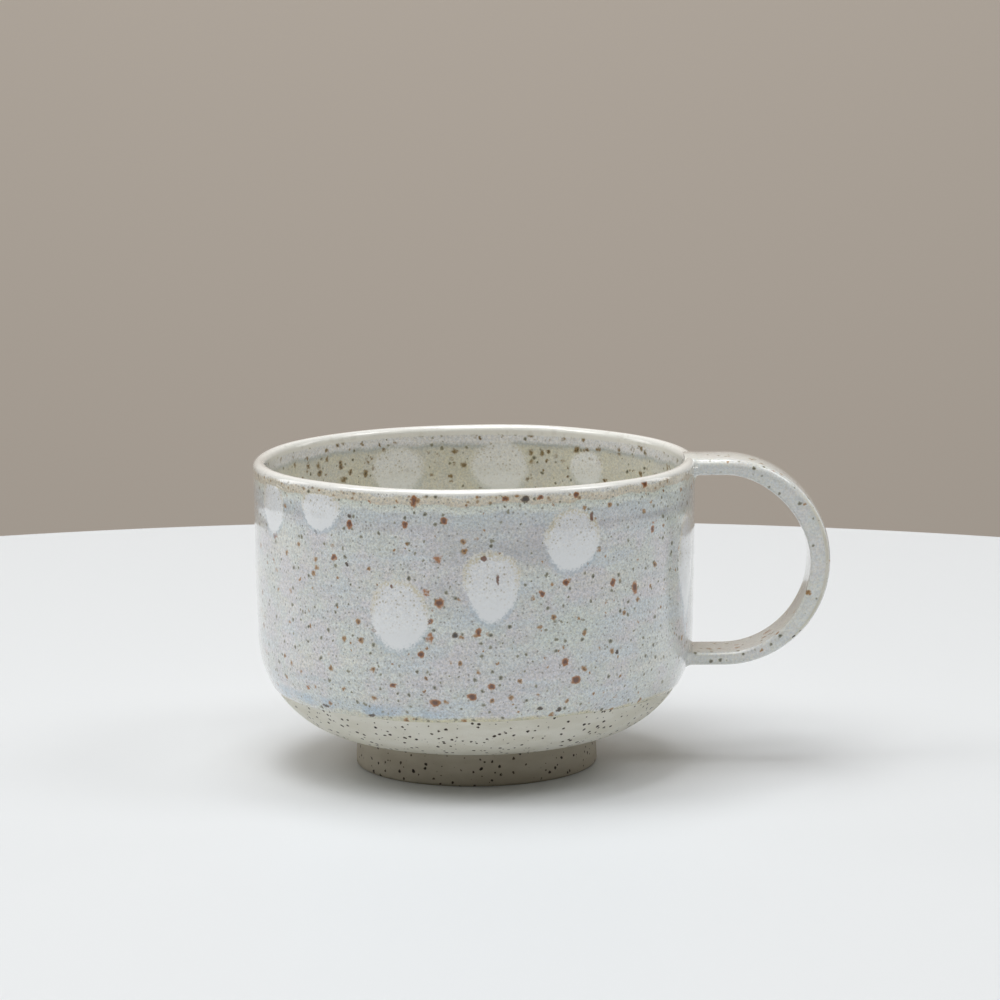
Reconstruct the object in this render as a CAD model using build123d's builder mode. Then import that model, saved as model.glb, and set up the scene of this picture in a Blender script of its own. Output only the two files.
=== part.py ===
"""A wide, low stoneware mug: thrown bowl on a turned foot, strap handle, glaze coats and white dabs.

Millimetres. The origin is on the bowl's axis, in the plane the foot stands on. +Z is up and the handle
points to +X. Every coat of glaze is a separate thin solid that meets the clay and its neighbours face to
face.
"""

import os
from dataclasses import dataclass
from math import cos, radians, sin, sqrt, tan

from build123d import *

# Bowl: a quarter round that runs tangent into a wall leaning slightly outwards, in bare clay
belly_centre_r, belly_centre_z, belly_radius, outer_lean = 25.15, 29.1, 21.9, 1.05
hollow_centre_r, hollow_centre_z, hollow_radius, inner_lean = 24.4, 31.2, 20.0, 2.0
lip_spring_z = 66.05  # height where the rounded lip springs from the two wall faces

# Foot: a tapered ring turned under the bowl
foot_outer_radius, foot_inner_radius = 26.4, 21.9
foot_inset_at_top = 0.9
foot_chamfer = 0.5

# Coats
glaze_thickness = 0.3
spot_thickness = 0.25
glaze_line_z = 18.0  # below this line the outside is bare clay
rim_glaze_z = 64.6  # the pale rim coat covers the lip from this height up

# Handle: a flat strap bent into a half round, in bare clay
strap_width = 12.4
strap_edge_radius = 0.7
strap_bend_x = 54.0
strap_top_z, strap_top_under_z = 66.8, 63.9
strap_low_z, strap_low_inside_z = 22.1, 24.4
strap_outer_reach, strap_inner_reach = 22.7, 18.9
upper_root_x, lower_root_x = 46.4, 44.6  # inside the wall, so that the bowl trims both roots
upper_slip_face_x, lower_slip_face_x = 47.7, 46.7
upper_slip_radius, lower_slip_radius = 1.6, 1.0
slip_joint_x = 49.6  # the strap proper starts here; the slipped joints lie between it and the wall

# Dabs of white glaze: angle round the bowl from the front (-Y) towards the handle, height of the middle,
# width, height
outer_spots = [
    (-63, 58.6, 10.6, 10.0),
    (-42, 60.4, 11.0, 8.0),
    (-19, 41.0, 12.6, 15.0),
    (4.5, 46.8, 11.6, 14.6),
    (25.5, 56.0, 12.4, 13.6),
    (71, 47.5, 10.5, 19.0),
    (112, 52.0, 11.5, 13.5),
    (134, 40.0, 12.0, 14.5),
    (155, 56.5, 11.0, 12.5),
    (178, 45.0, 12.5, 15.0),
    (201, 57.5, 11.5, 11.0),
    (222, 42.5, 12.0, 14.0),
    (246, 50.5, 11.0, 13.0),
    (268, 39.5, 11.5, 14.0),
]
liner_spots = [
    (-157, 57.5, 13.0, 12.0),
    (173, 57.8, 14.0, 12.5),
    (146, 58.5, 9.0, 8.5),
    (118, 53.0, 11.0, 12.0),
    (78, 56.5, 11.5, 11.5),
    (38, 50.0, 11.0, 12.5),
    (5, 56.0, 12.0, 11.0),
    (-34, 52.0, 11.5, 12.5),
    (-72, 57.0, 11.0, 11.0),
    (-113, 51.5, 12.0, 12.5),
]
spot_band = (30.0, 64.0)
spot_reach = 8.0  # half the depth of the prism that cuts a dab out of its thin shell


@dataclass(frozen=True)
class BowlCurve:
    """Half outline of the bowl: a quarter round that turns into a straight leaning wall."""

    centre_r: float
    centre_z: float
    radius: float
    lean: float

    def grown(self, coat):
        """The same curve with a coat added outwards, or taken off where coat is negative."""
        return BowlCurve(self.centre_r, self.centre_z, self.radius + coat, self.lean)

    def turn(self):
        """The point where the round becomes the wall."""
        angle = radians(self.lean)
        return (self.centre_r + self.radius * cos(angle), self.centre_z - self.radius * sin(angle))

    def point(self, z):
        """The point of the curve at a height."""
        turn_r, turn_z = self.turn()
        if z >= turn_z:
            return (turn_r + (z - turn_z) * tan(radians(self.lean)), z)
        rise = max(self.centre_z - z, 0)
        return (self.centre_r + sqrt(max(self.radius**2 - rise**2, 0)), z)

    def bottom(self):
        """The lowest point of the round."""
        return (self.centre_r, self.centre_z - self.radius)

    def draw(self, low_z, high_z):
        """Draw the curve between two heights into the line builder that is open."""
        turn_z = self.turn()[1]
        if low_z < turn_z:
            arc_top_z = min(high_z, turn_z)
            ThreePointArc(self.point(low_z), self.point((low_z + arc_top_z) / 2), self.point(arc_top_z))
        if high_z > turn_z:
            Line(self.point(max(low_z, turn_z)), self.point(high_z))


clay_outside = BowlCurve(belly_centre_r, belly_centre_z, belly_radius, outer_lean)
clay_inside = BowlCurve(hollow_centre_r, hollow_centre_z, hollow_radius, inner_lean)
glaze_outside = clay_outside.grown(glaze_thickness)
glaze_inside = clay_inside.grown(-glaze_thickness)
underside_z = clay_outside.bottom()[1]


def draw_lip(outside, inside):
    """Draw the rounded lip from the outer wall over to the inner wall."""
    outer_point = outside.point(lip_spring_z)
    inner_point = inside.point(lip_spring_z)
    lip_radius = (outer_point[0] - inner_point[0]) / 2
    crown = (inner_point[0] + lip_radius, lip_spring_z + lip_radius)
    ThreePointArc(outer_point, crown, inner_point)


def draw_shell(curve, other, low_z, high_z):
    """Draw the closed band between two curves of the bowl, from one height to another."""
    curve.draw(low_z, high_z)
    other.draw(low_z, high_z)
    Line(curve.point(low_z), other.point(low_z))
    Line(curve.point(high_z), other.point(high_z))


def draw_handle(coat):
    """Draw the side view of the handle and its two slipped roots, grown by a coat all round."""
    top, top_under = strap_top_z + coat, strap_top_under_z - coat
    low, low_inside = strap_low_z - coat, strap_low_inside_z + coat
    upper_round, lower_round = upper_slip_radius - coat, lower_slip_radius - coat
    upper_x, lower_x = upper_slip_face_x + coat, lower_slip_face_x + coat
    bite = 1 - sqrt(0.5)  # how far the middle of a quarter-round fillet stands off its corner
    Line((upper_root_x, top), (strap_bend_x, top))
    outer_centre, outer_rise = (strap_bend_x, (top + low) / 2), (top - low) / 2
    EllipticalCenterArc(outer_centre, strap_outer_reach + coat, outer_rise, -90, arc_size=180)
    Line((strap_bend_x, low), (lower_root_x, low))
    Line((lower_root_x, low), (lower_root_x, low_inside + lower_round))
    Line((lower_root_x, low_inside + lower_round), (lower_x, low_inside + lower_round))
    ThreePointArc(
        (lower_x, low_inside + lower_round),
        (lower_x + bite * lower_round, low_inside + bite * lower_round),
        (lower_x + lower_round, low_inside),
    )
    Line((lower_x + lower_round, low_inside), (strap_bend_x, low_inside))
    inner_centre, inner_rise = (strap_bend_x, (top_under + low_inside) / 2), (top_under - low_inside) / 2
    EllipticalCenterArc(inner_centre, strap_inner_reach - coat, inner_rise, -90, arc_size=180)
    Line((strap_bend_x, top_under), (upper_x + upper_round, top_under))
    ThreePointArc(
        (upper_x + upper_round, top_under),
        (upper_x + bite * upper_round, top_under - bite * upper_round),
        (upper_x, top_under - upper_round),
    )
    Line((upper_x, top_under - upper_round), (upper_root_x, top_under - upper_round))
    Line((upper_root_x, top_under - upper_round), (upper_root_x, top))


def long_edges(part):
    """The edges that run along the strap on its two sides, without those inside the wall."""
    sides = part.faces().filter_by(Axis.Y).edges()
    return sides.filter_by(lambda edge: edge.bounding_box().max.X > upper_slip_face_x + 2)


def spot_plane(angle, z, radius):
    """The plane that faces outwards at an angle round the bowl, with its local Y upright."""
    turn = radians(angle)
    outwards = Vector(sin(turn), -cos(turn), 0)
    return Plane(origin=outwards * radius + Vector(0, 0, z), x_dir=(cos(turn), sin(turn), 0), z_dir=outwards)


# --- Clay -------------------------------------------------------------------------------------------------

with BuildPart() as cup_body:
    with BuildSketch(Plane.XZ):
        with BuildLine():
            Line((0, underside_z), clay_outside.bottom())
            clay_outside.draw(underside_z, lip_spring_z)
            draw_lip(clay_outside, clay_inside)
            clay_inside.draw(clay_inside.bottom()[1], lip_spring_z)
            Line(clay_inside.bottom(), (0, clay_inside.bottom()[1]))
            Line((0, clay_inside.bottom()[1]), (0, underside_z))
        make_face()
    revolve(axis=Axis.Z)
cup_body.part.label = "cup_body"

with BuildPart() as foot_ring:
    with BuildSketch(Plane.XZ):
        with BuildLine():
            Polyline(
                (foot_inner_radius, 0),
                (foot_outer_radius, 0),
                (belly_centre_r, underside_z),
                (foot_inner_radius - foot_inset_at_top, underside_z),
                close=True,
            )
        make_face()
    revolve(axis=Axis.Z)
    chamfer(foot_ring.faces().sort_by(Axis.Z)[0].edges(), foot_chamfer)
foot_ring.part.label = "foot_ring"

with BuildPart() as handle_blank:  # the whole bent strap, its roots still running into the wall
    with BuildSketch(Plane.XZ):
        with BuildLine():
            draw_handle(0)
        make_face()
    extrude(amount=strap_width / 2, both=True)
    fillet(long_edges(handle_blank), strap_edge_radius)

with BuildPart() as handle_clay:
    add(handle_blank.part)
    add(cup_body.part, mode=Mode.SUBTRACT)

with BuildPart() as handle_strap:
    add(handle_clay.part)
    split(bisect_by=Plane.YZ.offset(slip_joint_x), keep=Keep.TOP)
handle_strap.part.label = "handle_strap"

with BuildPart() as slip_joints:
    add(handle_clay.part)
    split(bisect_by=Plane.YZ.offset(slip_joint_x), keep=Keep.BOTTOM)

with BuildPart() as lower_joint_slip:
    add(slip_joints.solids().sort_by(Axis.Z)[0])
lower_joint_slip.part.label = "lower_joint_slip"

with BuildPart() as upper_joint_slip:
    add(slip_joints.solids().sort_by(Axis.Z)[-1])
upper_joint_slip.part.label = "upper_joint_slip"

# --- Glaze coats ------------------------------------------------------------------------------------------

with BuildPart() as glazed_bowl:  # the filled outer shape of the glazed bowl, used only to trim the handle
    with BuildSketch(Plane.XZ):
        with BuildLine():
            Line((0, underside_z), clay_outside.bottom())
            clay_outside.draw(underside_z, glaze_line_z)
            Line(clay_outside.point(glaze_line_z), glaze_outside.point(glaze_line_z))
            glaze_outside.draw(glaze_line_z, lip_spring_z)
            draw_lip(glaze_outside, glaze_inside)
            Line(glaze_inside.point(lip_spring_z), (0, lip_spring_z))
            Line((0, lip_spring_z), (0, underside_z))
        make_face()
    revolve(axis=Axis.Z)

with BuildPart() as outer_glaze:
    with BuildSketch(Plane.XZ):
        with BuildLine():
            draw_shell(clay_outside, glaze_outside, glaze_line_z, rim_glaze_z)
        make_face()
    revolve(axis=Axis.Z)
    add(handle_blank.part, mode=Mode.SUBTRACT)
outer_glaze.part.label = "outer_glaze"

with BuildPart() as rim_glaze:
    with BuildSketch(Plane.XZ):
        with BuildLine():
            Line(clay_outside.point(rim_glaze_z), glaze_outside.point(rim_glaze_z))
            glaze_outside.draw(rim_glaze_z, lip_spring_z)
            draw_lip(glaze_outside, glaze_inside)
            glaze_inside.draw(rim_glaze_z, lip_spring_z)
            Line(glaze_inside.point(rim_glaze_z), clay_inside.point(rim_glaze_z))
            clay_inside.draw(rim_glaze_z, lip_spring_z)
            draw_lip(clay_outside, clay_inside)
            clay_outside.draw(rim_glaze_z, lip_spring_z)
        make_face()
    revolve(axis=Axis.Z)
    add(handle_blank.part, mode=Mode.SUBTRACT)
rim_glaze.part.label = "rim_glaze"

with BuildPart() as liner_glaze:
    with BuildSketch(Plane.XZ):
        with BuildLine():
            clay_inside.draw(clay_inside.bottom()[1], rim_glaze_z)
            Line(clay_inside.point(rim_glaze_z), glaze_inside.point(rim_glaze_z))
            glaze_inside.draw(glaze_inside.bottom()[1], rim_glaze_z)
            Line(glaze_inside.bottom(), (0, glaze_inside.bottom()[1]))
            Line((0, glaze_inside.bottom()[1]), (0, clay_inside.bottom()[1]))
            Line((0, clay_inside.bottom()[1]), clay_inside.bottom())
        make_face()
    revolve(axis=Axis.Z)
liner_glaze.part.label = "liner_glaze"

with BuildPart() as handle_glaze:
    with BuildSketch(Plane.XZ):
        with BuildLine():
            draw_handle(glaze_thickness)
        make_face()
    extrude(amount=strap_width / 2 + glaze_thickness, both=True)
    fillet(long_edges(handle_glaze), strap_edge_radius + glaze_thickness)
    add(handle_blank.part, mode=Mode.SUBTRACT)
    add(glazed_bowl.part, mode=Mode.SUBTRACT)
handle_glaze.part.label = "handle_glaze"

# --- White dabs -------------------------------------------------------------------------------------------


with BuildPart() as outer_spot_prisms:
    for angle, z, width, height in outer_spots:
        with BuildSketch(spot_plane(angle, z, glaze_outside.point(z)[0])):
            Ellipse(width / 2, height / 2)
    extrude(amount=spot_reach, both=True)

with BuildPart() as outer_white_spots:
    with BuildSketch(Plane.XZ):
        with BuildLine():
            draw_shell(glaze_outside, glaze_outside.grown(spot_thickness), *spot_band)
        make_face()
    revolve(axis=Axis.Z)
    add(outer_spot_prisms.part, mode=Mode.INTERSECT)
outer_white_spots.part.label = "outer_white_spots"

with BuildPart() as liner_spot_prisms:
    for angle, z, width, height in liner_spots:
        with BuildSketch(spot_plane(angle, z, glaze_inside.point(z)[0])):
            Ellipse(width / 2, height / 2)
    extrude(amount=spot_reach, both=True)

with BuildPart() as liner_white_spots:
    with BuildSketch(Plane.XZ):
        with BuildLine():
            draw_shell(glaze_inside, glaze_inside.grown(-spot_thickness), *spot_band)
        make_face()
    revolve(axis=Axis.Z)
    add(liner_spot_prisms.part, mode=Mode.INTERSECT)
liner_white_spots.part.label = "liner_white_spots"

# --- Files ------------------------------------------------------------------------------------------------

pieces = [
    cup_body,
    foot_ring,
    handle_strap,
    upper_joint_slip,
    lower_joint_slip,
    outer_glaze,
    rim_glaze,
    liner_glaze,
    handle_glaze,
    outer_white_spots,
    liner_white_spots,
]
os.makedirs("parts", exist_ok=True)
for piece in pieces:
    export_step(piece.part, f"parts/{piece.part.label}.step")
    print(piece.part.label, len(piece.part.solids()), "solids", round(piece.part.volume, 1), "mm3")
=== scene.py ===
"""Looks of a hand-thrown stoneware mug: wide low bowl, turned foot, strap handle, speckled glaze, dabs.

Finished pieces are in metres. Sizes inside the classes are millimetres, because that is how a potter
measures, except in the studio. The handle points to +X and the mug stands on z = 0.
"""

import logging
import math
from collections.abc import Callable, Mapping, Sequence
from dataclasses import dataclass
from enum import Enum

import bmesh
import bpy
from mathutils import Matrix, Vector, noise


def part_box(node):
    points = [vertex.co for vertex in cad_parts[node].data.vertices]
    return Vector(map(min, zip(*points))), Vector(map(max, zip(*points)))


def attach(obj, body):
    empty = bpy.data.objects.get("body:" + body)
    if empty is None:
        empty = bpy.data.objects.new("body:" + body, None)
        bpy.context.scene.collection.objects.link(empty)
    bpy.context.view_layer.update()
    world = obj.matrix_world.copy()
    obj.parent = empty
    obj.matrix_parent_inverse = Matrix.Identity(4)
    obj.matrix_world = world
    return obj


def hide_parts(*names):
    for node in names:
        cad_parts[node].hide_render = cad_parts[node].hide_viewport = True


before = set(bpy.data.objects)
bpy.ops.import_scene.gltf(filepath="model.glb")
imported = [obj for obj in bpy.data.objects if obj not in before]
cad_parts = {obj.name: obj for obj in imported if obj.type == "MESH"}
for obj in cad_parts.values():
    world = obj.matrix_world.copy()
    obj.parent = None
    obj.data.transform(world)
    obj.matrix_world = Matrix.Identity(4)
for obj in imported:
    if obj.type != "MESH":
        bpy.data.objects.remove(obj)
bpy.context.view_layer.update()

log = logging.getLogger("mug")

MM = 0.001
BODY = "root"
FULL_TURN = 2 * math.pi
SHARP_ANGLE = math.radians(38)
WELD = 0.0005  # points nearer than this, in millimetres, are one

HALF = (0.5, 0.5, 0.5)

Place = bpy.types.NodeSocket
Colour = tuple[float, float, float, float]
Outline = list[tuple[float, float]]  # radius and height of each point
Wall = Callable[[float], float]  # the radius of a surface of the bowl at a height
Waves = tuple[tuple[int, float, float], ...]  # crests round the bowl, share and phase of each wave


# --- Small tools ------------------------------------------------------------------------------------------


def linear(hex_code: str, alpha: float = 1.0) -> Colour:
    """Turn an sRGB hex code into a linear colour.

    Args:
        hex_code: six hex digits after a hash sign.
        alpha: how much the colour covers.

    Returns:
        The linear red, green and blue, and the alpha.
    """
    channels = [int(hex_code[i : i + 2], 16) / 255 for i in (1, 3, 5)]
    parts = [c / 12.92 if c <= 0.04045 else ((c + 0.055) / 1.055) ** 2.4 for c in channels]
    return (parts[0], parts[1], parts[2], alpha)


def ease(value: float) -> float:
    """Smooth step of a value that is first held between nought and one."""
    held = min(max(value, 0.0), 1.0)
    return held * held * (3 - 2 * held)


def swing(angle: float, waves: Waves) -> float:
    """The sum of some waves round the bowl, at an angle."""
    return sum(share * math.sin(crests * angle + phase) for crests, share, phase in waves)


def box_of(node: str) -> tuple[Vector, Vector]:
    """The lowest and the highest corner of a node, in millimetres."""
    low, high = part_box(node)
    return low / MM, high / MM


class NodeSheet:
    """The node tree of one material, with the one function that adds to it."""

    def __init__(self, name: str) -> None:
        """Make an empty material.

        Args:
            name: the name of the finish.
        """
        self.material = bpy.data.materials.new(name)
        self.material.use_nodes = True
        self.tree = self.material.node_tree
        self.tree.nodes.clear()

    def add(
        self, kind: str, inputs: Mapping[int | str, object] | None = None, **settings: object
    ) -> bpy.types.Node:
        """Add a node with its settings and links.

        Args:
            kind: the node's type without its ShaderNode prefix.
            inputs: socket keys with the value, or the output socket to link, of each.
            settings: attributes of the node, and stops for a colour ramp.

        Returns:
            The new node.
        """
        node = self.tree.nodes.new(f"ShaderNode{kind}")
        stops = settings.pop("stops", None)
        for key, value in settings.items():
            setattr(node, key, value)
        for key, value in (inputs or {}).items():
            if isinstance(value, Place):
                self.tree.links.new(value, node.inputs[key])
            else:
                node.inputs[key].default_value = value
        if stops:
            elements = node.color_ramp.elements
            while len(elements) < len(stops):
                elements.new(1.0)
            for element, (position, colour) in zip(elements, stops):
                element.position = position
                element.color = colour
        return node

    def noise(self, place: Place, size: float, detail: float, roughness: float = 0.5) -> Sequence[Place]:
        """Outputs of a noise whose largest features have a given size in millimetres."""
        inputs = {"Vector": place, "Scale": 1 / size, "Detail": detail, "Roughness": roughness}
        return self.add("TexNoise", inputs).outputs

    def vector(self, operation: str, *values: object) -> Place:
        """One vector sum."""
        return self.add("VectorMath", dict(enumerate(values)), operation=operation).outputs[0]

    def length(self, place: Place) -> Place:
        """The length of a vector."""
        return self.add("VectorMath", {0: place}, operation="LENGTH").outputs[1]

    def shade(self, colour: Place, amount: Place) -> Place:
        """A colour made lighter or darker."""
        return self.add("VectorMath", {0: colour, 3: amount}, operation="SCALE").outputs[0]

    def height(self, place: Place) -> Place:
        """The height of a place."""
        return self.add("SeparateXYZ", {0: place}).outputs[2]

    def sum(self, operation: str, *values: object) -> Place:
        """One sum of plain numbers."""
        return self.add("Math", dict(enumerate(values)), operation=operation).outputs[0]

    def ramp(
        self,
        value: Place,
        start: Place | float,
        end: Place | float,
        low: float = 0.0,
        high: float = 1.0,
        curve: str = "SMOOTHSTEP",
    ) -> Place:
        """A value carried from one span to another, held at both ends."""
        inputs = {0: value, 1: start, 2: end, 3: low, 4: high}
        return self.add("MapRange", inputs, interpolation_type=curve).outputs[0]

    def blend(self, share: Place | float, below: Place | Colour, above: Place | Colour) -> Place:
        """One colour laid over another."""
        return self.add("Mix", {0: share, 6: below, 7: above}, data_type="RGBA").outputs[2]


def open_sheet(name: str, ripple: float) -> tuple[NodeSheet, Place, Place]:
    """Open a material.

    Args:
        name: the name of the finish.
        ripple: the size of a fine noise, in millimetres.

    Returns:
        The nodes, object coordinates in millimetres, and the noise centred on nought.
    """
    sheet = NodeSheet(name)
    place = sheet.vector("MULTIPLY", sheet.add("TexCoord").outputs["Object"], (1 / MM,) * 3)
    return sheet, place, sheet.vector("SUBTRACT", sheet.noise(place, ripple, 1.0)[1], HALF)


def store(bm: bmesh.types.BMesh, name: str) -> bpy.types.Object:
    """Store a mesh, which is freed, as a new object of the scene."""
    mesh = bpy.data.meshes.new(name)
    bm.to_mesh(mesh)
    bm.free()
    made = bpy.data.objects.new(name, mesh)
    bpy.context.scene.collection.objects.link(made)
    return made


def finish_mesh(bm: bmesh.types.BMesh, name: str) -> bpy.types.Object:
    """Close and smooth a mesh in millimetres, and store it in metres as an object at the origin."""
    bmesh.ops.remove_doubles(bm, verts=bm.verts, dist=WELD)
    bmesh.ops.recalc_face_normals(bm, faces=bm.faces)
    bmesh.ops.transform(bm, matrix=Matrix.Scale(MM, 4), verts=bm.verts)
    for face in bm.faces:
        face.smooth = True
    for edge in bm.edges:
        edge.smooth = len(edge.link_faces) == 2 and edge.calc_face_angle() < SHARP_ANGLE
    return store(bm, name)


def spin_outline(outline: Outline, steps: int) -> bmesh.types.BMesh:
    """Turn a closed outline round the bowl's axis.

    Args:
        outline: radius and height of each point in turn, in millimetres.
        steps: how many steps make the full turn.

    Returns:
        The turned mesh.
    """
    bm = bmesh.new()
    ring = [bm.verts.new((r, 0, z)) for r, z in outline]
    edges = [bm.edges.new(pair) for pair in zip(ring, ring[1:])]
    if outline[0][0] > 0:
        edges.append(bm.edges.new((ring[-1], ring[0])))
    bmesh.ops.spin(
        bm,
        geom=ring + edges,
        cent=(0, 0, 0),
        axis=(0, 0, 1),
        angle=FULL_TURN,
        steps=steps,
        use_merge=True,
    )
    return bm


# --- The thrown form --------------------------------------------------------------------------------------


@dataclass(frozen=True)
class BowlCurve:
    """Half outline of the bowl: a quarter round that turns into a straight leaning wall (millimetres)."""

    centre_r: float
    centre_z: float
    radius: float
    lean: float

    def turn(self) -> tuple[float, float]:
        """The radius and height where the round becomes the wall."""
        return self.on_round(math.radians(self.lean))

    def on_round(self, angle: float) -> tuple[float, float]:
        """The radius and height of a point of the round, from its angle below level."""
        return self.centre_r + self.radius * math.cos(angle), self.centre_z - self.radius * math.sin(angle)

    def reach(self, z: float) -> float:
        """The radius of the curve at a height."""
        turn_r, turn_z = self.turn()
        if z >= turn_z:
            return turn_r + (z - turn_z) * math.tan(math.radians(self.lean))
        return self.centre_r + math.sqrt(max(self.radius**2 - (self.centre_z - z) ** 2, 0))

    def grown(self, coat: float) -> "BowlCurve":
        """The same curve with a coat added outwards."""
        return BowlCurve(self.centre_r, self.centre_z, self.radius + coat, self.lean)

    def bottom(self) -> float:
        """The height of the lowest point of the round."""
        return self.centre_z - self.radius

    def walk(self, low: float, high: float, pace: float) -> Outline:
        """Points from one height to another, evenly spaced along the curve.

        Args:
            low: the height of the first point.
            high: the height of the last point.
            pace: the distance between points.

        Returns:
            Radius and height of each point.
        """
        points: Outline = []
        turn_z = self.turn()[1]
        if low < turn_z:
            start = math.asin(min((self.centre_z - low) / self.radius, 1))
            top = min(high, turn_z)
            end = math.asin((self.centre_z - top) / self.radius)
            count = max(round((start - end) * self.radius / pace), 1)
            points += [self.on_round(start + (end - start) * i / count) for i in range(count)]
        base = max(low, turn_z)
        count = max(round((high - base) / pace), 1)
        for i in range(count + 1):
            z = min(base + (high - base) * i / count, high)
            points.append((self.reach(z), z))
        return points


@dataclass(frozen=True)
class ThrownForm:
    """The bowl as it came off the wheel: its four surfaces, and how a hand leaves them slightly uneven."""

    clay_out: BowlCurve
    clay_in: BowlCurve
    coat: float
    lip_spring: float
    rim_seam: float
    glaze_line: float
    oval: float = 0.11
    oval_waves: Waves = ((2, 1.0, 0.6), (3, 0.35, 2.0))
    ring_depth: float = 0.035
    ring_pitch: float = 5.2
    ring_start: float = 16.0  # the throwing rings begin at this height
    ring_rise: float = 8.0  # and have their full depth this much higher
    ring_clear: float = 1.5  # they are gone this far under the lip
    ring_fall: float = 4.0  # and fade over this height
    softness: float = 0.1
    touch_pace: float = 1.7  # how quickly the soft unevenness changes round the bowl
    touch_height: float = 19.0  # the height over which it changes
    lip_start: float = 0.72  # the lip's waves begin at this share of the height
    lip_wave: float = 0.14
    lip_waves: Waves = ((2, 1.0, 1.9), (5, 0.4, 0.0), (9, 0.25, 1.0))
    lip_drop: float = 0.7  # how far the lip's waves lie low, as a share of their height

    @classmethod
    def from_frame(cls) -> "ThrownForm":
        """Work the form out from the boxes of the CAD nodes."""
        body_low, body_high = box_of("cup_body")
        coat_low, coat_high = box_of("outer_glaze")
        floor = box_of("liner_glaze")[0].z
        coat = box_of("rim_glaze")[1].z - body_high.z
        lip_radius = 1.05
        lip_spring = body_high.z - lip_radius
        outer = cls.fit_curve(body_high.y, lip_spring, body_low.z, radius=21.9, lean=1.05)
        inner = cls.fit_curve(body_high.y - 2 * lip_radius, lip_spring, floor, radius=20.0, lean=2.0)
        return cls(outer, inner, coat, lip_spring, coat_high.z, coat_low.z)

    @staticmethod
    def fit_curve(lip_reach: float, lip_z: float, bottom: float, radius: float, lean: float) -> BowlCurve:
        """A bowl curve through a lip point and down to a floor height.

        Args:
            lip_reach: the radius at the lip.
            lip_z: the height of that radius.
            bottom: the height of the lowest point.
            radius: the radius of the round.
            lean: how far the wall leans outwards, in degrees.

        Returns:
            The curve.
        """
        centre_z = bottom + radius
        angle = math.radians(lean)
        turn_z = centre_z - radius * math.sin(angle)
        turn_r = lip_reach - (lip_z - turn_z) * math.tan(angle)
        return BowlCurve(turn_r - radius * math.cos(angle), centre_z, radius, lean)

    def glaze_out(self) -> BowlCurve:
        """The outer face of the outside coat."""
        return self.clay_out.grown(self.coat)

    def glaze_in(self) -> BowlCurve:
        """The inner face of the liner coat."""
        return self.clay_in.grown(-self.coat)

    def lip(self, outside: BowlCurve, inside: BowlCurve, pieces: int) -> Outline:
        """Points of the rounded lip between two walls, without its two ends.

        Args:
            outside: the wall it springs from.
            inside: the wall it comes down on.
            pieces: how many pieces the half round has.

        Returns:
            Radius and height of each point, from outside to inside.
        """
        outer_r, inner_r = outside.reach(self.lip_spring), inside.reach(self.lip_spring)
        radius, middle = (outer_r - inner_r) / 2, (outer_r + inner_r) / 2
        angles = [math.pi * i / pieces for i in range(1, pieces)]
        return [(middle + radius * math.cos(a), self.lip_spring + radius * math.sin(a)) for a in angles]

    def unevenness(self, place: Vector) -> Vector:
        """How far a point of the perfectly turned bowl is moved by the potter's hands.

        Args:
            place: the point, in millimetres.

        Returns:
            The shift, in millimetres.
        """
        angle = math.atan2(place.x, -place.y)
        height = place.z / self.lip_spring
        across = Vector((place.x, place.y, 0))
        if across.length < 1e-6:
            return Vector((0, 0, 0))
        outwards = across.normalized()
        oval = self.oval * ease(height) * swing(angle, self.oval_waves)
        rising = ease((place.z - self.ring_start) / self.ring_rise)
        fade = rising * ease((self.lip_spring - self.ring_clear - place.z) / self.ring_fall)
        rings = self.ring_depth * fade * math.sin(FULL_TURN * place.z / self.ring_pitch + angle)
        circle = (math.sin(angle) * self.touch_pace, math.cos(angle) * self.touch_pace)
        touch = noise.noise(Vector((*circle, place.z / self.touch_height)))
        near_lip = ease((height - self.lip_start) / (1 - self.lip_start))
        rise = self.lip_wave * near_lip * (swing(angle, self.lip_waves) - self.lip_drop)
        return outwards * (oval + rings + self.softness * touch * ease(height)) + Vector((0, 0, rise))

    def throw(self, bm: bmesh.types.BMesh) -> None:
        """Move every vertex of a turned mesh by the form's unevenness."""
        for vert in bm.verts:
            vert.co += self.unevenness(vert.co)


# --- Finishes ---------------------------------------------------------------------------------------------


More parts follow.
